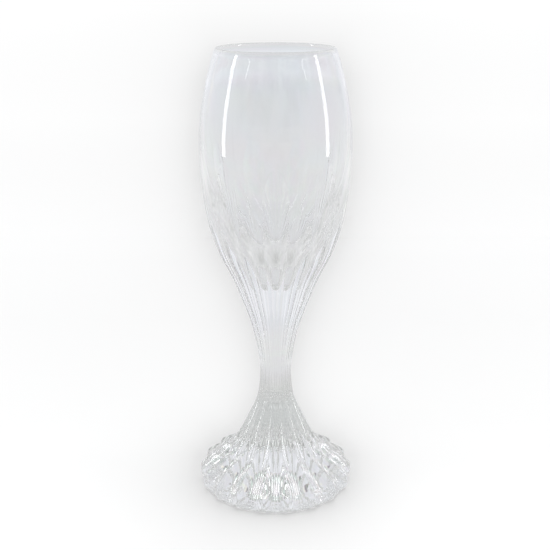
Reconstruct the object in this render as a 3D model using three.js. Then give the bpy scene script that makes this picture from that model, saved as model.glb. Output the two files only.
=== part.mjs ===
// Cut-crystal champagne flute, millimetres, +Z up, origin on the axis at the
// centre of the resting ring. The glass is made from three gathers of crystal
// that are fused hot and then cut: the bowl, the drawn stem and the foot. The
// fused seams are flat and horizontal. Eighteen hollow flutes are cut down the
// outside, from lancet points on the belly of the bowl, along the stem and out
// over the foot, and they meet in sharp ridges.
import * as THREE from "three";

// ---- driving dimensions -----------------------------------------------------
const HEIGHT = 215; // rim above the table
const FLUTES = 18; // cuts round the glass
const STEPS_PER_FLUTE = 4; // mesh columns in each cut
const SEAM_BOWL = 92; // height of the bowl to stem seam
const SEAM_FOOT = 45.5; // height of the stem to foot seam
const TALL_TIP = 171; // point of every second cut on the bowl
const TALL_RUN = 20; // length over which that cut reaches its full width
const SHORT_TIP = 151; // point of the cuts between them
const SHORT_RUN = 22;
const REST_INNER = 27; // inner radius of the flat resting ring
const DISH = 0.4; // rise of the polished underside at the axis

// Outside, over the ridges: [radius, height], from the resting ring up.
const OUTSIDE = [
  [35.2, 0], [36.6, 0.7], [37.7, 2.2], [38.2, 4.6], [38.1, 7.0], [36.9, 9.6],
  [33.5, 12.2], [28.5, 14.9], [24.0, 17.9], [20.6, 21.4], [18.3, 25.2],
  [16.4, 29.2], [14.5, 33.4], [12.2, 38.0], [10.0, 42.6], [9.0, 45.5],
  [8.4, 48.5], [7.8, 53], [7.5, 58], [7.7, 63], [8.4, 68.5], [9.5, 74.5],
  [10.8, 80.3], [12.4, 86], [14.45, 92], [16.3, 96.5], [18.1, 101], [20.0, 106],
  [22.2, 111], [24.6, 115.5], [27.1, 120.3], [29.3, 125.9], [31.1, 131.7],
  [32.2, 136.5], [33.1, 142], [34.1, 149.5], [34.8, 157], [35.2, 164],
  [35.3, 171], [35.0, 178], [34.3, 185], [33.3, 191.8], [31.5, 199.8],
  [29.6, 207.3], [28.1, 212],
];
// Fire-polished rim, outside to inside.
const RIM = [
  [27.35, 214.1], [27.05, 214.75], [26.6, HEIGHT], [26.15, 214.8], [25.95, 214.1],
];
// Inside of the bowl, from the rim down to the bottom of the well.
const INSIDE = [
  [28.5, 206.5], [30.7, 199], [32.1, 191], [33.0, 183], [33.3, 174.5],
  [32.9, 166], [32.0, 158], [30.3, 150], [28.0, 143], [25.0, 136.5],
  [20.9, 130.5], [15.8, 125], [10.9, 120], [7.6, 114.6], [5.4, 110],
  [3.4, 107.1], [0, 106],
];
// Depth of a cut at its middle, by height above the table.
const DEPTH = [
  [0, 0], [0.7, 1.2], [2.2, 2.6], [4.6, 3.5], [7.0, 4.0], [9.6, 4.1], [12.2, 3.5],
  [14.9, 2.7], [17.9, 2.0], [21.4, 1.5], [25.2, 1.2], [33.4, 0.8],
  [42.6, 0.55], [50, 0.42], [58, 0.38], [68.5, 0.42], [80, 0.58], [92, 0.8],
  [106, 1.1], [120, 1.4], [135, 1.55], [150, 1.45], [TALL_TIP, 1.3], [HEIGHT, 1.3],
];

// ---- shape of the cuts --------------------------------------------------------
const PITCH = (2 * Math.PI) / FLUTES;

function alongTable(table, x) {
  if (x <= table[0][0]) return table[0][1];
  for (let i = 1; i < table.length; i++)
    if (x <= table[i][0]) {
      const [x0, y0] = table[i - 1], [x1, y1] = table[i];
      return y0 + ((y1 - y0) * (x - x0)) / (x1 - x0);
    }
  return table[table.length - 1][1];
}

// 0 at the point of a cut, 1 where it has its full width.
function growth(z, tip, run) {
  const u = THREE.MathUtils.clamp((tip - z) / run, 0, 1);
  return u * u * (3 - 2 * u);
}

// How far the cuts take the surface in at angle phi (0 at the front) and height z.
function cutDepth(phi, z) {
  const k = Math.round(phi / PITCH);
  let most = 0;
  for (const j of [k - 1, k, k + 1]) {
    const odd = Math.abs(j % 2) === 1;
    const grown = odd ? growth(z, SHORT_TIP, SHORT_RUN) : growth(z, TALL_TIP, TALL_RUN);
    const off = (phi - j * PITCH) / (PITCH / 2);
    most = Math.max(most, grown - off * off);
  }
  return alongTable(DEPTH, z) * most;
}

// Direction of the cut: square to the axis on the bowl and stem, and turning to
// square to the surface over the foot.
function cutDirection(rows, j) {
  const a = rows[Math.max(j - 1, 0)], b = rows[Math.min(j + 1, rows.length - 1)];
  const square = new THREE.Vector2(b[1] - a[1], a[0] - b[0]).normalize();
  const share = THREE.MathUtils.smoothstep(SEAM_FOOT - rows[j][1], 0, 10);
  return new THREE.Vector2(1, 0).lerp(square, share).normalize();
}

// ---- solids -------------------------------------------------------------------
// A turned solid whose profile starts and ends on the axis. `cut` rows are the
// outside rows that the flutes are cut into.
function turned(profile, cut) {
  const columns = FLUTES * STEPS_PER_FLUTE;
  const geometry = new THREE.LatheGeometry(
    profile.map(([r, z]) => new THREE.Vector2(r, z)), columns,
  );
  const position = geometry.getAttribute("position");
  for (let i = 0; i <= columns; i++) {
    const phi = ((i % columns) / columns) * 2 * Math.PI;
    for (let j = 0; j < profile.length; j++) {
      let [r, z] = profile[j];
      const row = cut.indexOf(profile[j]);
      if (row >= 0) {
        const depth = cutDepth(phi, z), along = directions.get(profile[j]);
        r -= along.x * depth;
        z -= along.y * depth;
      }
      position.setXYZ(i * profile.length + j, r * Math.sin(phi), z, r * Math.cos(phi));
    }
  }
  geometry.rotateX(Math.PI / 2);
  geometry.computeVertexNormals();
  return geometry;
}

const directions = new Map(OUTSIDE.map((row, j) => [row, cutDirection(OUTSIDE, j)]));
const between = (low, high) => OUTSIDE.filter(([, z]) => z >= low && z <= high);

const underside = [];
for (let i = 0; i <= 4; i++) {
  const r = (REST_INNER * i) / 4;
  underside.push([r, DISH * (1 - (r / REST_INNER) ** 2)]);
}

const footRows = between(0, SEAM_FOOT);
const stemRows = between(SEAM_FOOT, SEAM_BOWL);
const bowlRows = between(SEAM_BOWL, HEIGHT);

const foot = turned([...underside, ...footRows, [0, SEAM_FOOT]], footRows);
const stem = turned([[0, SEAM_FOOT], ...stemRows, [0, SEAM_BOWL]], stemRows);
const bowl = turned([[0, SEAM_BOWL], ...bowlRows, ...RIM, ...INSIDE], bowlRows);

// ---- the glass ------------------------------------------------------------------
const crystal = (name) => new THREE.MeshStandardMaterial({
  name, color: 0xf2f5f6, roughness: 0.04, metalness: 0, transparent: true, opacity: 0.35,
});

const glass = new THREE.Group();
for (const [name, geometry] of [["bowl", bowl], ["stem", stem], ["foot", foot]]) {
  const mesh = new THREE.Mesh(geometry, crystal(name));
  mesh.name = name;
  glass.add(mesh);
}

export default glass;
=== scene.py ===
"""Cut-crystal champagne flute: fine glass meshes, glass materials, a pale sweep and studio strip lights.

Lengths in the tables are millimetres; everything handed to Blender is metres.
"""
import math

import bpy
import numpy as np
from mathutils import Euler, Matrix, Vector


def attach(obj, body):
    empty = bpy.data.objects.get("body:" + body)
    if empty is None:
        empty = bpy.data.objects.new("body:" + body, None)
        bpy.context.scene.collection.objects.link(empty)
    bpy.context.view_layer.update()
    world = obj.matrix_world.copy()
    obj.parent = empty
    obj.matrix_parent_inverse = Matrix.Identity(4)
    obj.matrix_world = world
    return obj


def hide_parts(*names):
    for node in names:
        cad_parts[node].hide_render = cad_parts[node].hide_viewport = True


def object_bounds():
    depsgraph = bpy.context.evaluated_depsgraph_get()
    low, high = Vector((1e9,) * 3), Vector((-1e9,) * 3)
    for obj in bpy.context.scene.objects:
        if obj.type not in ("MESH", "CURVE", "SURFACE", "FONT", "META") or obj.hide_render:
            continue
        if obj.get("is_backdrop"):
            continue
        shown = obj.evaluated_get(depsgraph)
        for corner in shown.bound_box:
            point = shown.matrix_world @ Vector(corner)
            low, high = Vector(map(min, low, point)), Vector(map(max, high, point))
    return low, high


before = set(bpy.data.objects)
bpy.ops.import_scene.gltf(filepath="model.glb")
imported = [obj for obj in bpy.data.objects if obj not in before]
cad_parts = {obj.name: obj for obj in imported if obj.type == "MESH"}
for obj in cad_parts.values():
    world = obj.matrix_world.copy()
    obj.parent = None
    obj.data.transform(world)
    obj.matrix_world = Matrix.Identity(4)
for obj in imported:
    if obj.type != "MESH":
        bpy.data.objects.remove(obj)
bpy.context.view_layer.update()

# ---------------------------------------------------------------- shape tables
HEIGHT = 215.0
FLUTES = 18
SEAM_BOWL = 92.0
SEAM_FOOT = 45.5
TALL_TIP, TALL_RUN = 171.0, 20.0
SHORT_TIP, SHORT_RUN = 151.0, 22.0
REST_INNER = 27.0
DISH = 0.4

OUTSIDE = [
    (35.2, 0), (36.6, 0.7), (37.7, 2.2), (38.2, 4.6), (38.1, 7.0), (36.9, 9.6),
    (33.5, 12.2), (28.5, 14.9), (24.0, 17.9), (20.6, 21.4), (18.3, 25.2),
    (16.4, 29.2), (14.5, 33.4), (12.2, 38.0), (10.0, 42.6), (9.0, 45.5),
    (8.4, 48.5), (7.8, 53), (7.5, 58), (7.7, 63), (8.4, 68.5), (9.5, 74.5),
    (10.8, 80.3), (12.4, 86), (14.45, 92), (16.3, 96.5), (18.1, 101), (20.0, 106),
    (22.2, 111), (24.6, 115.5), (27.1, 120.3), (29.3, 125.9), (31.1, 131.7),
    (32.2, 136.5), (33.1, 142), (34.1, 149.5), (34.8, 157), (35.2, 164),
    (35.3, 171), (35.0, 178), (34.3, 185), (33.3, 191.8), (31.5, 199.8),
    (29.6, 207.3), (28.1, 212),
]
RIM = [(27.35, 214.1), (27.05, 214.75), (26.6, HEIGHT), (26.15, 214.8), (25.95, 214.1)]
INSIDE = [
    (28.5, 206.5), (30.7, 199), (32.1, 191), (33.0, 183), (33.3, 174.5),
    (32.9, 166), (32.0, 158), (30.3, 150), (28.0, 143), (25.0, 136.5),
    (20.9, 130.5), (15.8, 125), (10.9, 120), (7.6, 114.6), (5.4, 110),
    (3.4, 107.1), (0, 106),
]
DEPTH = [
    (0, 0), (0.7, 1.2), (2.2, 2.6), (4.6, 3.5), (7.0, 4.0), (9.6, 4.1), (12.2, 3.5),
    (14.9, 2.7), (17.9, 2.0), (21.4, 1.5), (25.2, 1.2), (33.4, 0.8),
    (42.6, 0.55), (50, 0.42), (58, 0.38), (68.5, 0.42), (80, 0.58), (92, 0.8),
    (106, 1.1), (120, 1.4), (135, 1.55), (150, 1.45), (171, 1.3), (215, 1.3),
]
GROOVE_DEPTH, GROOVE_WIDTH = 0.16, 0.45  # the mark left round the neck where foot and stem were fused, mm
# how much the acid polish rounds the ridges, by height, mm
RIDGE = [(0, 0.7), (6, 0.7), (12, 0.55), (20, 0.4), (30, 0.25), (45, 0.15), (60, 0.10), (215, 0.10)]
COLUMNS_PER_FLUTE = 24


# ---------------------------------------------------------------- profile
def monotone(x, y):
    """Shape-preserving cubic through the points."""
    x, y = np.array(x, float), np.array(y, float)
    h, d = np.diff(x), np.diff(y) / np.diff(x)
    m = np.zeros_like(x)
    for i in range(1, len(x) - 1):
        if d[i - 1] * d[i] > 0:
            a, b = 2 * h[i] + h[i - 1], h[i] + 2 * h[i - 1]
            m[i] = (a + b) / (a / d[i - 1] + b / d[i])
    m[0], m[-1] = d[0], d[-1]

    def at(q):
        q = np.clip(q, x[0], x[-1])
        i = np.clip(np.searchsorted(x, q, side="right") - 1, 0, len(h) - 1)
        t = (q - x[i]) / h[i]
        return (
            (1 + 2 * t) * (1 - t) ** 2 * y[i] + t * (1 - t) ** 2 * h[i] * m[i]
            + t * t * (3 - 2 * t) * y[i + 1] + t * t * (t - 1) * h[i] * m[i + 1]
        )

    return at


def arc(points):
    p = np.array(points, float)
    return np.concatenate([[0], np.cumsum(np.linalg.norm(np.diff(p, axis=0), axis=1))])


def even(points, step):
    """The same line with evenly spaced points."""
    s = arc(points)
    p = np.array(points, float)
    q = np.linspace(0, s[-1], max(2, int(round(s[-1] / step)) + 1))
    return np.stack([np.interp(q, s, p[:, 0]), np.interp(q, s, p[:, 1])], 1)


def soften(line, width):
    """Gaussian fairing of a line, `width` (mm of arc) for each point, ends kept."""
    s = arc(line)
    w = np.exp(-0.5 * ((s[:, None] - s[None, :]) / np.maximum(width, 1e-3)[:, None]) ** 2)
    w /= w.sum(1, keepdims=True)
    out = w @ line
    out[0], out[-1] = line[0], line[-1]
    return out


def skin():
    """The glass's outer and inner line from the foot's lower edge to the bottom of the well."""
    points = np.array(OUTSIDE + RIM + INSIDE, float)
    s = arc(points)
    q = np.linspace(0, s[-1], int(s[-1] / 0.2) + 1)
    line = even(np.stack([monotone(s, points[:, 0])(q), monotone(s, points[:, 1])(q)], 1), 0.2)
    s = arc(line)
    top = s[np.argmax(line[:, 1])]
    away = np.abs(s - top)
    width = np.clip((away - 1.5) * 0.35, 0.12, 3.2)
    width = np.minimum(width, np.clip(0.25 + (s - 4) * 0.16, 0.25, 9))
    width = np.minimum(width, np.clip(0.4 + (s[-1] - s) * 0.3, 0.4, 9))
    return soften(line, width), top


LINE, _ = skin()
LINE_S = arc(LINE)
LINE_TOP = int(np.argmax(LINE[:, 1]))


def rows_between(start, stop, spacing):
    """Arc positions from start to stop with a spacing that depends on the place."""
    out, s = [start], start
    while True:
        s += spacing(s)
        if s >= stop - 0.4 * spacing(s):
            break
        out.append(s)
    out.append(stop)
    return np.array(out)


def where_z(z):
    """Arc position on the outside at height z."""
    return float(np.interp(z, LINE[: LINE_TOP + 1, 1], LINE_S[: LINE_TOP + 1]))


def spacing(s):
    r = np.interp(s, LINE_S, LINE[:, 0])
    z = np.interp(s, LINE_S, LINE[:, 1])
    to_top = abs(s - LINE_S[LINE_TOP])
    if to_top < 4:
        return 0.12 + 0.16 * to_top
    if s > LINE_S[LINE_TOP]:
        return 1.4 if z > 125 else 0.7
    if abs(z - SEAM_FOOT) < 2:
        return 0.2
    if z < 16:
        return 0.5
    if z < 46:
        return 0.8
    if z < 120:
        return 1.0
    return 0.55 if z < 174 else 1.5


# ---------------------------------------------------------------- cuts
def smooth_max(a, b, k):
    h = np.clip(k - np.abs(a - b), 0, None) / k
    return np.maximum(a, b) + h * h * k / 4


def growth(z, tip, run):
    u = np.clip((tip - z) / run, 0, 1)
    return u * u * (3 - 2 * u)


def cut_depth(phi, z):
    """How far the cuts take the surface in, mm. phi is an array of columns, z of rows."""
    pitch = 2 * math.pi / FLUTES
    depth = np.interp(z, *zip(*DEPTH))[:, None]
    tall = growth(z, TALL_TIP, TALL_RUN)[:, None]
    short = growth(z, SHORT_TIP, SHORT_RUN)[:, None]
    k = np.round(phi / pitch)
    soft = np.interp(z, *zip(*RIDGE))[:, None]
    out = np.zeros((len(z), len(phi)))
    for j in (k - 1, k, k + 1):
        grown = np.where((np.abs(j) % 2 == 1)[None, :], short, tall)
        off = (phi - j * pitch)[None, :] / (pitch / 2)
        out = smooth_max(out, depth * (grown - off * off), soft)
    base = soft / 4
    plain = (depth * np.maximum(tall, short)) <= 1e-9
    return np.where(plain, 0, np.maximum(out - base, 0))


def columns():
    t = np.linspace(-1, 1, COLUMNS_PER_FLUTE + 1)[:-1]
    u = t + 0.5 * np.sin(math.pi * t) / math.pi
    pitch = 2 * math.pi / FLUTES
    return np.concatenate([(j + u / 2) * pitch for j in range(FLUTES)])


PHI = columns()


def cut_surface(s):
    """Grid of points (rows, columns, 3), mm, of the skin at arc positions s."""
    r = np.interp(s, LINE_S, LINE[:, 0])
    z = np.interp(s, LINE_S, LINE[:, 1])
    e = 0.6
    dr = np.interp(s + e, LINE_S, LINE[:, 0]) - np.interp(s - e, LINE_S, LINE[:, 0])
    dz = np.interp(s + e, LINE_S, LINE[:, 1]) - np.interp(s - e, LINE_S, LINE[:, 1])
    n = np.stack([dz, -dr], 1)
    n /= np.linalg.norm(n, axis=1, keepdims=True)
    share = np.clip((SEAM_FOOT - z) / 10, 0, 1)
    share = (share * share * (3 - 2 * share))[:, None]
    n = np.array([[1.0, 0.0]]) * (1 - share) + n * share
    n /= np.linalg.norm(n, axis=1, keepdims=True)
    cut = cut_depth(PHI, z)
    cut[s > LINE_S[LINE_TOP] - 3] = 0
    groove = GROOVE_DEPTH * np.exp(-(((z - SEAM_FOOT) / GROOVE_WIDTH) ** 2))
    rr = (r - groove)[:, None] - n[:, :1] * cut
    zz = z[:, None] - n[:, 1:] * cut
    return np.stack([rr * np.sin(PHI), -rr * np.cos(PHI), zz + 0 * PHI], 2)


def turned_rows(points):
    p = np.array(points, float)
    return np.stack(
        [p[:, :1] * np.sin(PHI), -p[:, :1] * np.cos(PHI), p[:, 1:] + 0 * PHI], 2
    )


# ---------------------------------------------------------------- meshes
def loop_normals(grid):
    """Normal at each corner of each quad of a closed ring of columns, smooth except across sharp ridges."""
    nxt = np.roll(grid, -1, axis=1)
    a, b, c, d = grid[:-1], nxt[:-1], nxt[1:], grid[1:]
    face = np.cross(c - a, d - b)
    area = np.linalg.norm(face, axis=2, keepdims=True)
    unit = face / np.maximum(area, 1e-12)
    rows, cols = unit.shape[:2]
    pad = np.zeros((1, cols, 3))
    sums = {}
    up, um = np.concatenate([face, pad]), np.concatenate([pad, face])
    corners = []
    # corner order a (row j, col i), b (j, i+1), c (j+1, i+1), d (j+1, i)
    for dj, di in ((0, 0), (0, 1), (1, 1), (1, 0)):
        total = np.zeros_like(unit)
        for fj in (dj - 1, dj):
            for fi in (di - 1, di):
                other = np.zeros_like(face)
                src = np.roll(face, -fi, axis=1)
                if fj == 0:
                    other = src
                elif fj == 1:
                    other[:-1] = src[1:]
                else:
                    other[1:] = src[:-1]
                size = np.linalg.norm(other, axis=2, keepdims=True)
                same = (np.sum(other * unit, 2, keepdims=True) / np.maximum(size, 1e-12)) > 0.93
                total += np.where(same, other, 0)
        total /= np.maximum(np.linalg.norm(total, axis=2, keepdims=True), 1e-12)
        corners.append(total)
    return np.stack(corners, 2)  # rows, cols, 4, 3


def piece(name, grid, normals, low_cap, high_cap, materials):
    """A closed mesh from a grid of rows. A cap is None (the row lies on the axis) or a material index."""
    rows, cols = grid.shape[:2]
    verts = (grid.reshape(-1, 3) / 1000).tolist()
    faces, mats, norms = [], [], []

    def at(j, i):
        return j * cols + i % cols

    for j in range(rows - 1):
        for i in range(cols):
            faces.append((at(j, i), at(j, i + 1), at(j + 1, i + 1), at(j + 1, i)))
            mats.append(0)
    norms = normals.reshape(-1, 3).tolist()
    for j, cap, up in ((0, low_cap, -1.0), (rows - 1, high_cap, 1.0)):
        if cap is None:
            continue
        centre = len(verts)
        verts.append((0.0, 0.0, float(grid[j, :, 2].mean()) / 1000))
        for i in range(cols):
            tri = (centre, at(j, i + 1), at(j, i)) if up < 0 else (centre, at(j, i), at(j, i + 1))
            faces.append(tri)
            mats.append(cap)
            norms += [(0.0, 0.0, up)] * 3
    mesh = bpy.data.meshes.new(name)
    mesh.from_pydata(verts, [], faces)
    mesh.polygons.foreach_set("material_index", mats)
    mesh.polygons.foreach_set("use_smooth", [True] * len(faces))
    mesh.update()
    mesh.normals_split_custom_set(norms)
    for m in materials:
        mesh.materials.append(m)
    obj = bpy.data.objects.new(name, mesh)
    bpy.context.scene.collection.objects.link(obj)
    return obj


def underside_rows():
    """Underside from near the axis to the resting ring's outer edge."""
    out = []
    for r in np.concatenate([np.linspace(0.4, 25.5, 22), [26.3, 26.8, 27.0, 27.2, 27.8]]):
        out.append((r, DISH * max(0.0, 1 - (r / REST_INNER) ** 2)))
    out += [(r, 0.0) for r in np.linspace(29, 35.0, 7)]
    return out


# ---------------------------------------------------------------- materials
def node_tree(name):
    m = bpy.data.materials.new(name)
    m.use_nodes = True
    m.node_tree.nodes.clear()
    return m, m.node_tree.nodes, m.node_tree.links


def crystal(name, ior=1.545):
    """Lead crystal: near-clear, acid-polished, with a faint ripple from the polish and a ground, worn resting ring."""
    m, n, l = node_tree(name)
    out = n.new("ShaderNodeOutputMaterial")
    glass = n.new("ShaderNodeBsdfPrincipled")
    glass.inputs["Base Color"].default_value = (0.955, 0.962, 0.970, 1)
    glass.inputs["Transmission Weight"].default_value = 1.0
    glass.inputs["IOR"].default_value = ior
    glass.inputs["Specular IOR Level"].default_value = 0.5
    place = n.new("ShaderNodeTexCoord")

    def noise(scale, detail, vector):
        t = n.new("ShaderNodeTexNoise")
        t.inputs["Scale"].default_value = scale
        t.inputs["Detail"].default_value = detail
        l.new(vector, t.inputs["Vector"])
        return t.outputs["Fac"]

    def span(value, low, high, to_low, to_high):
        t = n.new("ShaderNodeMapRange")
        t.inputs["From Min"].default_value = low
        t.inputs["From Max"].default_value = high
        t.inputs["To Min"].default_value = to_low
        t.inputs["To Max"].default_value = to_high
        l.new(value, t.inputs["Value"])
        return t.outputs["Result"]

    def maths(operation, a, b):
        t = n.new("ShaderNodeMath")
        t.operation = operation
        l.new(a, t.inputs[0])
        if hasattr(b, "links"):
            l.new(b, t.inputs[1])
        else:
            t.inputs[1].default_value = b
        return t.outputs["Value"]

    # the ring it stands on: ground flat, then scuffed by use
    split = n.new("ShaderNodeSeparateXYZ")
    l.new(place.outputs["Object"], split.inputs["Vector"])
    plan = n.new("ShaderNodeCombineXYZ")
    l.new(split.outputs["X"], plan.inputs["X"])
    l.new(split.outputs["Y"], plan.inputs["Y"])
    reach = n.new("ShaderNodeVectorMath")
    reach.operation = "LENGTH"
    l.new(plan.outputs["Vector"], reach.inputs[0])
    low_down = span(split.outputs["Z"], 0.00002, 0.00030, 1.0, 0.0)
    outer = span(reach.outputs["Value"], REST_INNER / 1000 - 0.0003, REST_INNER / 1000 + 0.0003, 0.0, 1.0)
    ring = maths("MULTIPLY", low_down, outer)
    scuffs = noise(900, 3, place.outputs["Object"])
    ground = maths("MULTIPLY", ring, span(scuffs, 0.35, 0.7, 0.10, 0.34))
    # faint smudges elsewhere
    haze = span(noise(90, 4, place.outputs["Object"]), 0.45, 0.8, 0.0, 0.02)
    l.new(maths("ADD", haze, ground), glass.inputs["Roughness"])

    # the soft ripple that acid polishing leaves, hairline scratches, and the grain of the ground ring
    stretched = n.new("ShaderNodeMapping")
    stretched.inputs["Rotation"].default_value = (0.35, 0.2, 0.5)
    stretched.inputs["Scale"].default_value = (1.0, 14.0, 1.0)
    l.new(place.outputs["Object"], stretched.inputs["Vector"])
    hairlines = span(noise(260, 1, stretched.outputs["Vector"]), 0.70, 0.78, 0.0, 1.0)
    relief = maths("ADD", noise(55, 2, place.outputs["Object"]), maths("MULTIPLY", hairlines, 0.015))
    relief = maths("ADD", relief, maths("MULTIPLY", maths("MULTIPLY", ring, scuffs), 0.25))
    bump = n.new("ShaderNodeBump")
    bump.inputs["Strength"].default_value = 0.12
    bump.inputs["Distance"].default_value = 0.0002
    l.new(relief, bump.inputs["Height"])
    l.new(bump.outputs["Normal"], glass.inputs["Normal"])
    l.new(glass.outputs["BSDF"], out.inputs["Surface"])
    return m


def fused():
    """The fused seam inside the glass, which light passes straight through."""
    m, n, l = node_tree("fused_seam")
    out = n.new("ShaderNodeOutputMaterial")
    clear = n.new("ShaderNodeBsdfTransparent")
    l.new(clear.outputs["BSDF"], out.inputs["Surface"])
    return m


# ---------------------------------------------------------------- build the glass
s_foot, s_bowl = where_z(SEAM_FOOT), where_z(SEAM_BOWL)
foot_s = rows_between(0.0, s_foot, spacing)
stem_s = rows_between(s_foot, s_bowl, spacing)
bowl_s = rows_between(s_bowl, LINE_S[-1] - 0.35, spacing)
under = turned_rows(underside_rows())
skin_s = np.concatenate([foot_s, stem_s[1:], bowl_s[1:]])
skin_grid = cut_surface(skin_s)
whole = np.concatenate([under, skin_grid])
whole_normals = loop_normals(whole)
seam_foot_row = len(under) + len(foot_s) - 1
seam_bowl_row = seam_foot_row + len(stem_s) - 1
whole[seam_foot_row, :, 2] = SEAM_FOOT
whole[seam_bowl_row, :, 2] = SEAM_BOWL

glass_mat, seam_mat = crystal("cut_crystal"), fused()
for name, node, low, high, low_cap, high_cap in (
    ("crystal_foot", "foot", 0, seam_foot_row, 0, 1),
    ("crystal_stem", "stem", seam_foot_row, seam_bowl_row, 1, 1),
    ("crystal_bowl", "bowl", seam_bowl_row, len(whole) - 1, 1, 0),
):
    obj = piece(
        name, whole[low : high + 1], whole_normals[low:high], low_cap, high_cap,
        [glass_mat, seam_mat] if 1 in (low_cap, high_cap) else [glass_mat],
    )
    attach(obj, "root")
    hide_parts(node)

# ---------------------------------------------------------------- camera
FOCAL = 972.0  # in pixels of a 550 pixel frame
CAMERA = Vector((-0.0003, -0.4425, 0.2514))
TILT = math.radians(17.9)
cam = bpy.data.cameras.new("camera")
cam.sensor_width = 36
cam.lens = FOCAL / 550 * 36
cam_obj = bpy.data.objects.new("camera", cam)
cam_obj.location = CAMERA
cam_obj.rotation_euler = Euler((math.pi / 2 - TILT, 0, 0))
bpy.context.scene.collection.objects.link(cam_obj)
bpy.context.scene.camera = cam_obj

# ---------------------------------------------------------------- stage
FLOOR_GLOW, FLOOR_PAINT, WALL_GLOW = 0.54, 0.38, 1.01
ROOM_TINT = 0.5
SWEEP_START, SWEEP_TURN = 0.45, 0.25  # where the floor starts to curve up, and the curve's radius
# Painted shade on the sweep, soft and grey, round and behind the glass, metres: [distance back along
# the sweep from the glass's axis, half width, reach sideways, reach along the sweep, strength].
PAINTED_SHADE_TABLE = [
    (0.754, 0.023, 0.0204, 0.0206, 0.47), (0.749, 0.068, 0.0204, 0.0207, 0.53),
    (0.734, 0.073, 0.0203, 0.0211, 0.75), (0.711, 0.079, 0.0203, 0.0217, 1),
    (0.686, 0.083, 0.0201, 0.0225, 1), (0.647, 0.085, 0.0199, 0.0241, 1),
    (0.620, 0.084, 0.0196, 0.0256, 1), (0.575, 0.0795, 0.0191, 0.0291, 1),
    (0.500, 0.069, 0.0180, 0.0412, 1), (0.444, 0.060, 0.0170, 0.060, 1),
    (0.373, 0.0465, 0.0158, 0.0535, 1), (0.322, 0.0356, 0.0149, 0.0476, 1),
    (0.272, 0.0265, 0.0140, 0.0422, 1), (0.208, 0.0161, 0.0129, 0.0356, 1),
    (0.170, 0.0122, 0.0122, 0.0320, 1), (0.133, 0.0096, 0.0116, 0.0287, 1),
    (0.105, 0.0102, 0.0111, 0.0263, 1), (0.079, 0.0147, 0.0106, 0.0242, 1),
    (0.055, 0.0204, 0.0102, 0.0223, 1), (0.041, 0.0321, 0.0099, 0.0212, 1),
    (0.022, 0.0395, 0.0096, 0.0198, 1), (0.001, 0.0380, 0.0093, 0.0184, 1),
    (-0.015, 0.0323, 0.0090, 0.0172, 1), (-0.028, 0.0233, 0.0087, 0.0164, 1),
    (-0.034, 0.0096, 0.0086, 0.0160, 1),
]


# Painted light and shade on the sweep: a small lightening or darkening of its glow by (distance back along the sweep,
# amount).
GLOW_LIGHT_SHADE_TRIM = [
    (-0.3, 0.06), (-0.049, 0.045), (0.0, 0.01), (0.064, -0.02), (0.136, -0.03), (0.228, -0.04),
    (0.379, -0.03), (0.45, 0.0), (0.54, 0.04), (0.661, 0.068), (0.735, 0.03), (0.78, 0.01), (0.9, 0.0),
]


def along_sweep(points):
    x, y, z = points.T
    bend = np.arctan2(np.clip(y - SWEEP_START, 0, None), np.clip(SWEEP_TURN - z, 1e-9, None))
    return np.where(
        (y > SWEEP_START) & (z > 1e-4),
        SWEEP_START + SWEEP_TURN * bend + np.clip(z - SWEEP_TURN, 0, None),
        y,
    )


def painted_shade(points):
    """Brightness of the sweep at points on it: soft grey painted shade round and behind the glass."""
    x, along = points[:, 0], along_sweep(points)
    table = np.array(PAINTED_SHADE_TABLE, float)
    t = np.linspace(0, len(PAINTED_SHADE_TABLE) - 1, 170)
    rows = np.stack([np.interp(t, np.arange(len(PAINTED_SHADE_TABLE)), table[:, i]) for i in range(5)], 1)
    near = np.full(len(points), 1e9)
    strength = np.interp(along, table[::-1, 0], table[::-1, 4])
    strength = np.where(along > 0.754, 0.45, strength)
    for back, half, across, deep, _ in rows:
        near = np.minimum(
            near, np.hypot(np.maximum(np.abs(x) - half, 0) / across, (along - back) / deep)
        )
    return 1 - strength * 0.155 * np.exp(-near) - 0.05 * np.exp(-near * 0.225)


# How bright the sweep is in the glass, as painted light and shade: dim close to it, brighter further out and up.
SHADE_NEAR_GLASS = [(0.0, 0.60), (0.03, 0.61), (0.06, 0.66), (0.10, 0.70), (0.15, 0.745), (0.3, 0.78), (12, 0.78)]
UP_WALL = [(0.0, 0.77), (0.10, 0.76), (0.125, 0.77), (0.15, 0.80), (0.18, 0.84), (0.23, 0.82), (0.3, 0.78)]


def painted_light_in_glass(place, lit):
    x, y, z = place.T
    # painted light brighter to the left and right, painted shade dim close to the glass's foot
    side = np.clip((np.abs(x) - 0.03) / 0.4, 0, 1)
    side = 1 + 0.16 * side * side * (3 - 2 * side)
    floor = np.interp(np.hypot(x, y), *zip(*SHADE_NEAR_GLASS))
    wall = np.interp(z, *zip(*UP_WALL))
    wall_part = np.clip(z / 0.02, 0, 1)
    return side * (floor * (1 - wall_part) + wall * wall_part)


def room_light_tint(place):
    """How strongly the sweep is tinted in the glass by painted coloured room light, most close to the glass."""
    x, y, z = place.T
    return 0.10 + 0.10 * np.clip(1 - np.hypot(x, y) / 0.06, 0, 1)


def painted_caustic_rays(place):
    """Strength of the painted rays of light and shade on the floor round the glass, standing in for those the cut
    glass throws.
    """
    x, y, z = place.T
    return np.where(z < 0.001, np.interp(np.hypot(x, y), [0, 0.05, 0.10, 0.17], [0.34, 0.34, 0.22, 0]), 0)


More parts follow.
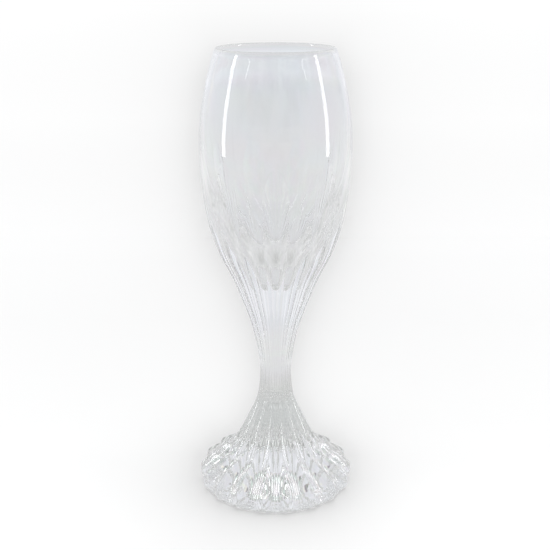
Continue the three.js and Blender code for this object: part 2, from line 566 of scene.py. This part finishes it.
def tinted(nodes, links, vector, scale, amount):
    """A soft, slowly changing tint round white, as from pale flags and walls in the room."""
    noise = nodes.new("ShaderNodeTexNoise")
    noise.inputs["Scale"].default_value = scale
    noise.inputs["Detail"].default_value = 1
    links.new(vector, noise.inputs["Vector"])
    tint = nodes.new("ShaderNodeVectorMath")
    tint.operation = "MULTIPLY_ADD"
    if hasattr(amount, "links"):
        offset = nodes.new("ShaderNodeMath")
        offset.operation = "MULTIPLY_ADD"
        offset.inputs[1].default_value = -0.5
        offset.inputs[2].default_value = 1.0
        links.new(amount, offset.inputs[0])
        links.new(amount, tint.inputs[1])
        links.new(offset.outputs["Value"], tint.inputs[2])
    else:
        tint.inputs[1].default_value = (amount,) * 3
        tint.inputs[2].default_value = (1 - amount / 2,) * 3
    links.new(noise.outputs["Color"], tint.inputs[0])
    return tint.outputs["Vector"]


def painted(name, verts, faces, material):
    mesh = bpy.data.meshes.new(name)
    mesh.from_pydata([tuple(v) for v in verts], [], faces)
    place = np.array(verts, float)
    # painted shade round and behind the glass, which darkens both the glow and the diffuse colour below
    shade = painted_shade(place)
    lit = np.clip(1 - place[:, 2] / 0.2, 0, 1)
    # the glow also carries a painted trim of light and shade by distance back along the sweep
    for key, value in (
        ("glow", shade * (FLOOR_GLOW * lit + WALL_GLOW * (1 - lit) + np.interp(along_sweep(place), *zip(*GLOW_LIGHT_SHADE_TRIM)))),
        ("paint", shade * FLOOR_PAINT * lit),
        ("painted_bounce", painted_light_in_glass(place, lit)),
        ("room_light_tint", room_light_tint(place)),
        ("painted_caustic_rays", painted_caustic_rays(place)),
    ):
        mesh.attributes.new(key, "FLOAT", "POINT").data.foreach_set("value", value.astype(np.float32))
    mesh.materials.append(material)
    mesh.polygons.foreach_set("use_smooth", [True] * len(faces))
    obj = bpy.data.objects.new(name, mesh)
    bpy.context.scene.collection.objects.link(obj)
    obj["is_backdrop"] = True
    return obj


def graded(low, high, fine, growth_rate):
    """Positions from low to high, `fine` apart near zero and wider apart away from it."""
    out = [0.0]
    while out[-1] < high:
        out.append(out[-1] + fine + growth_rate * out[-1])
    neg = [0.0]
    while neg[-1] > low:
        neg.append(neg[-1] - fine + growth_rate * neg[-1])
    return np.array(neg[::-1] + out[1:])


def grid_faces(rows, cols):
    return [
        (j * cols + i, j * cols + i + 1, (j + 1) * cols + i + 1, (j + 1) * cols + i)
        for j in range(rows - 1)
        for i in range(cols - 1)
    ]


def sweep_paint(name):
    m, n, l = node_tree(name)
    out = n.new("ShaderNodeOutputMaterial")
    lit = n.new("ShaderNodeAttribute")
    lit.attribute_name = "glow"
    glow = n.new("ShaderNodeEmission")
    glow.inputs["Color"].default_value = (0.998, 0.999, 1, 1)
    l.new(lit.outputs["Fac"], glow.inputs["Strength"])
    tone = n.new("ShaderNodeAttribute")
    tone.attribute_name = "paint"
    paint = n.new("ShaderNodeBsdfDiffuse")
    l.new(tone.outputs["Color"], paint.inputs["Color"])
    both = n.new("ShaderNodeAddShader")
    l.new(paint.outputs["BSDF"], both.inputs[0])
    l.new(glow.outputs["Emission"], both.inputs[1])
    # What the glass picks up is a slightly tinted grey, with painted shade close to the glass.
    deep = n.new("ShaderNodeAttribute")
    deep.attribute_name = "painted_bounce"
    room_light = n.new("ShaderNodeEmission")
    where = n.new("ShaderNodeTexCoord")
    strength = n.new("ShaderNodeAttribute")
    strength.attribute_name = "room_light_tint"
    # painted coloured room light on the sweep as the glass sees it, cooler higher up the wall
    tint = tinted(n, l, where.outputs["Object"], 9, strength.outputs["Fac"])
    level = n.new("ShaderNodeSeparateXYZ")
    l.new(where.outputs["Object"], level.inputs["Vector"])
    up = n.new("ShaderNodeMapRange")
    up.inputs["From Min"].default_value = 0.01
    up.inputs["From Max"].default_value = 0.11
    l.new(level.outputs["Z"], up.inputs["Value"])
    cool = n.new("ShaderNodeMix")
    cool.data_type = "VECTOR"
    cool.inputs[4].default_value = (1.0, 1.0, 1.0)
    cool.inputs[5].default_value = (0.985, 0.994, 1.032)
    l.new(up.outputs["Result"], cool.inputs[0])
    toned = n.new("ShaderNodeVectorMath")
    toned.operation = "MULTIPLY"
    l.new(tint, toned.inputs[0])
    l.new(cool.outputs[1], toned.inputs[1])
    l.new(toned.outputs["Vector"], room_light.inputs["Color"])
    # painted rays of light and shade round the foot, two to a flute
    part = n.new("ShaderNodeSeparateXYZ")
    l.new(where.outputs["Object"], part.inputs["Vector"])
    turn_angle = n.new("ShaderNodeMath")
    turn_angle.operation = "ARCTAN2"
    l.new(part.outputs["X"], turn_angle.inputs[0])
    l.new(part.outputs["Y"], turn_angle.inputs[1])
    rays = n.new("ShaderNodeMath")
    rays.operation = "MULTIPLY"
    rays.inputs[1].default_value = 2 * FLUTES
    l.new(turn_angle.outputs["Value"], rays.inputs[0])
    caustic_ray_wave = n.new("ShaderNodeMath")
    caustic_ray_wave.operation = "COSINE"
    l.new(rays.outputs["Value"], caustic_ray_wave.inputs[0])
    amount = n.new("ShaderNodeAttribute")
    amount.attribute_name = "painted_caustic_rays"
    swing = n.new("ShaderNodeMath")
    swing.operation = "MULTIPLY_ADD"
    l.new(caustic_ray_wave.outputs["Value"], swing.inputs[0])
    l.new(amount.outputs["Fac"], swing.inputs[1])
    swing.inputs[2].default_value = 1.0
    total = n.new("ShaderNodeMath")
    total.operation = "MULTIPLY"
    l.new(deep.outputs["Fac"], total.inputs[0])
    l.new(swing.outputs["Value"], total.inputs[1])
    l.new(total.outputs["Value"], room_light.inputs["Strength"])
    path = n.new("ShaderNodeLightPath")
    pick = n.new("ShaderNodeMixShader")
    l.new(path.outputs["Is Camera Ray"], pick.inputs["Fac"])
    l.new(room_light.outputs["Emission"], pick.inputs[1])
    l.new(both.outputs["Shader"], pick.inputs[2])
    l.new(pick.outputs["Shader"], out.inputs["Surface"])
    return m


FLOOR_Z = -0.0001  # the resting ring stands a hair clear, so that the two faces don't fight
xs = graded(-6.0, 6.0, 0.004, 0.03)
ys = graded(-6.0, 6.0, 0.004, 0.03)
painted(
    "floor",
    [(x, y, FLOOR_Z) for y in ys for x in xs],
    grid_faces(len(ys), len(xs)),
    sweep_paint("floor_paint"),
)
wall_x = np.linspace(-0.85, 0.85, 171)
turn = [
    (SWEEP_START + SWEEP_TURN * math.sin(a), 0.0002 + SWEEP_TURN * (1 - math.cos(a)))
    for a in np.linspace(0, math.pi / 2, 60)
]
rise = [(0.70, z) for z in np.arange(0.26, 0.455, 0.01)]
wall_yz = turn + rise
painted(
    "backdrop",
    [(x, y, z) for y, z in wall_yz for x in wall_x],
    grid_faces(len(wall_yz), len(wall_x)),
    sweep_paint("backdrop_paint"),
)


def strip(name, azimuth, distance, width, low, high, power, in_glass=False):
    a = math.radians(azimuth)
    light = bpy.data.lights.new(name, "AREA")
    light.shape = "RECTANGLE"
    light.size, light.size_y = width, high - low
    light.energy = power
    obj = bpy.data.objects.new(name, light)
    obj.location = (math.sin(a) * distance, -math.cos(a) * distance, (low + high) / 2)
    d = Vector((-obj.location.x, -obj.location.y, 0))
    obj.rotation_euler = d.to_track_quat("-Z", "Y").to_euler()
    obj.visible_camera = False
    obj.visible_transmission = in_glass
    obj.visible_glossy = not in_glass
    obj.visible_diffuse = not in_glass
    bpy.context.scene.collection.objects.link(obj)
    return obj


HIGH_STRIPS, HIGH_WIDTH, HIGH_GLOW = (-160, -125, -90, -55, 55, 90, 125, 160), 0.03, 3.0
# An area light's radiance is its power over pi times its area.
strip("strip_left", -80, 0.65, 0.075, 0.06, 0.52, 5.5 * math.pi * 0.075 * 0.46)
strip("strip_right", 80, 0.65, 0.075, 0.06, 0.52, 5.5 * math.pi * 0.075 * 0.46)

# Narrow tall lights set high, which only the foot's facets pick up.
for k, azimuth in enumerate(HIGH_STRIPS):
    strip("high_%d" % (k + 1), azimuth, 0.65, HIGH_WIDTH, 0.52, 1.05, HIGH_GLOW * math.pi * HIGH_WIDTH * 0.53, True)

sun = bpy.data.lights.new("overhead", "SUN")
sun.energy = 1.8
sun.angle = math.radians(50)
sun_obj = bpy.data.objects.new("overhead", sun)
sun_obj.rotation_euler = Euler((math.radians(-12), math.radians(6), 0))
sun_obj.visible_camera = False
sun_obj.visible_glossy = False
sun_obj.visible_transmission = False
bpy.context.scene.collection.objects.link(sun_obj)

# Room: pale where it is seen directly, darker towards the camera's side and overhead for reflections.
world = bpy.data.worlds.new("studio")
bpy.context.scene.world = world
world.use_nodes = True
wn, wl = world.node_tree.nodes, world.node_tree.links
wn.clear()
w_out = wn.new("ShaderNodeOutputWorld")
w_co = wn.new("ShaderNodeTexCoord")
w_sep = wn.new("ShaderNodeSeparateXYZ")
wl.new(w_co.outputs["Generated"], w_sep.inputs["Vector"])
height = wn.new("ShaderNodeMapRange")
height.inputs["From Min"].default_value = 0.0
height.inputs["From Max"].default_value = 0.7
height.inputs["To Min"].default_value = 0.78
height.inputs["To Max"].default_value = 0.76
wl.new(w_sep.outputs["Z"], height.inputs["Value"])
behind = wn.new("ShaderNodeMapRange")
behind.interpolation_type = "SMOOTHSTEP"
behind.inputs["From Min"].default_value = -0.5
behind.inputs["From Max"].default_value = 0.8
behind.inputs["To Min"].default_value = 0.80
behind.inputs["To Max"].default_value = 1.0
wl.new(w_sep.outputs["Y"], behind.inputs["Value"])
room = wn.new("ShaderNodeMath")
room.operation = "MULTIPLY"
wl.new(height.outputs["Result"], room.inputs[0])
wl.new(behind.outputs["Result"], room.inputs[1])
# brighter walls to the left and right
aside = wn.new("ShaderNodeMath")
aside.operation = "ABSOLUTE"
wl.new(w_sep.outputs["X"], aside.inputs[0])
walls = wn.new("ShaderNodeMapRange")
walls.interpolation_type = "SMOOTHSTEP"
walls.inputs["From Min"].default_value = 0.35
walls.inputs["From Max"].default_value = 0.95
walls.inputs["To Min"].default_value = 1.0
walls.inputs["To Max"].default_value = 1.22
wl.new(aside.outputs["Value"], walls.inputs["Value"])
room_sides = wn.new("ShaderNodeMath")
room_sides.operation = "MULTIPLY"
wl.new(room.outputs["Value"], room_sides.inputs[0])
wl.new(walls.outputs["Result"], room_sides.inputs[1])
# furniture of the room: soft patches, some darker and some brighter
patches = wn.new("ShaderNodeTexNoise")
patches.inputs["Scale"].default_value = 3.4
patches.inputs["Detail"].default_value = 1.5
wl.new(w_co.outputs["Generated"], patches.inputs["Vector"])
patch_tone = wn.new("ShaderNodeMapRange")
patch_tone.interpolation_type = "SMOOTHSTEP"
patch_tone.inputs["From Min"].default_value = 0.38
patch_tone.inputs["From Max"].default_value = 0.62
patch_tone.inputs["To Min"].default_value = 0.68
patch_tone.inputs["To Max"].default_value = 1.25
wl.new(patches.outputs["Fac"], patch_tone.inputs["Value"])
room_tone = wn.new("ShaderNodeMath")
room_tone.operation = "MULTIPLY"
wl.new(room_sides.outputs["Value"], room_tone.inputs[0])
wl.new(patch_tone.outputs["Result"], room_tone.inputs[1])
# small bright and dark things high up in the room, which the facets of the foot pick out
small = wn.new("ShaderNodeTexNoise")
small.inputs["Scale"].default_value = 8.5
small.inputs["Detail"].default_value = 1
wl.new(w_co.outputs["Generated"], small.inputs["Vector"])
small_tone = wn.new("ShaderNodeMapRange")
small_tone.interpolation_type = "SMOOTHSTEP"
small_tone.inputs["From Min"].default_value = 0.42
small_tone.inputs["From Max"].default_value = 0.60
small_tone.inputs["To Min"].default_value = -0.4
small_tone.inputs["To Max"].default_value = 0.3
wl.new(small.outputs["Fac"], small_tone.inputs["Value"])
high_up = wn.new("ShaderNodeMapRange")
high_up.interpolation_type = "SMOOTHSTEP"
high_up.inputs["From Min"].default_value = 0.25
high_up.inputs["From Max"].default_value = 0.45
wl.new(w_sep.outputs["Z"], high_up.inputs["Value"])
small_swing = wn.new("ShaderNodeMath")
small_swing.operation = "MULTIPLY_ADD"
wl.new(small_tone.outputs["Result"], small_swing.inputs[0])
wl.new(high_up.outputs["Result"], small_swing.inputs[1])
small_swing.inputs[2].default_value = 1.0
room_all = wn.new("ShaderNodeMath")
room_all.operation = "MULTIPLY"
wl.new(room_tone.outputs["Value"], room_all.inputs[0])
wl.new(small_swing.outputs["Value"], room_all.inputs[1])
# low down to the left and right the room runs on from the floor, so no edge shows through the bowl
far_side = wn.new("ShaderNodeMapRange")
far_side.interpolation_type = "SMOOTHSTEP"
far_side.inputs["From Min"].default_value = 0.75
far_side.inputs["From Max"].default_value = 0.95
wl.new(aside.outputs["Value"], far_side.inputs["Value"])
low_down = wn.new("ShaderNodeMapRange")
low_down.interpolation_type = "SMOOTHSTEP"
low_down.inputs["From Min"].default_value = 0.38
low_down.inputs["From Max"].default_value = 0.14
wl.new(w_sep.outputs["Z"], low_down.inputs["Value"])
run_on = wn.new("ShaderNodeMath")
run_on.operation = "MULTIPLY"
wl.new(far_side.outputs["Result"], run_on.inputs[0])
wl.new(low_down.outputs["Result"], run_on.inputs[1])
room_even = wn.new("ShaderNodeMix")
room_even.data_type = "FLOAT"
wl.new(run_on.outputs["Value"], room_even.inputs["Factor"])
wl.new(room_all.outputs["Value"], room_even.inputs[2])
room_even.inputs[3].default_value = 0.905
path = wn.new("ShaderNodeLightPath")
seen = wn.new("ShaderNodeMix")
seen.data_type = "FLOAT"
wl.new(path.outputs["Is Camera Ray"], seen.inputs["Factor"])
wl.new(room_even.outputs[0], seen.inputs[2])
seen.inputs[3].default_value = 1.0
w_bg = wn.new("ShaderNodeBackground")
# the glass picks up the room's tints, and the room itself is seen plain
plain = wn.new("ShaderNodeMix")
plain.data_type = "RGBA"
untinted = wn.new("ShaderNodeMath")
untinted.operation = "MAXIMUM"
wl.new(path.outputs["Is Camera Ray"], untinted.inputs[0])
wl.new(run_on.outputs["Value"], untinted.inputs[1])
wl.new(untinted.outputs["Value"], plain.inputs["Factor"])
wl.new(tinted(wn, wl, w_co.outputs["Generated"], 5, ROOM_TINT), plain.inputs[6])
plain.inputs[7].default_value = (1, 1, 1, 1)
wl.new(plain.outputs[2], w_bg.inputs["Color"])
wl.new(seen.outputs[0], w_bg.inputs["Strength"])
wl.new(w_bg.outputs["Background"], w_out.inputs["Surface"])

scene = bpy.context.scene
scene.view_settings.view_transform = "Standard"
scene.view_settings.look = "None"
scene.cycles.max_bounces = 48
scene.cycles.transmission_bounces = 48
scene.cycles.glossy_bounces = 48
scene.cycles.transparent_max_bounces = 24

low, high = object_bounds()
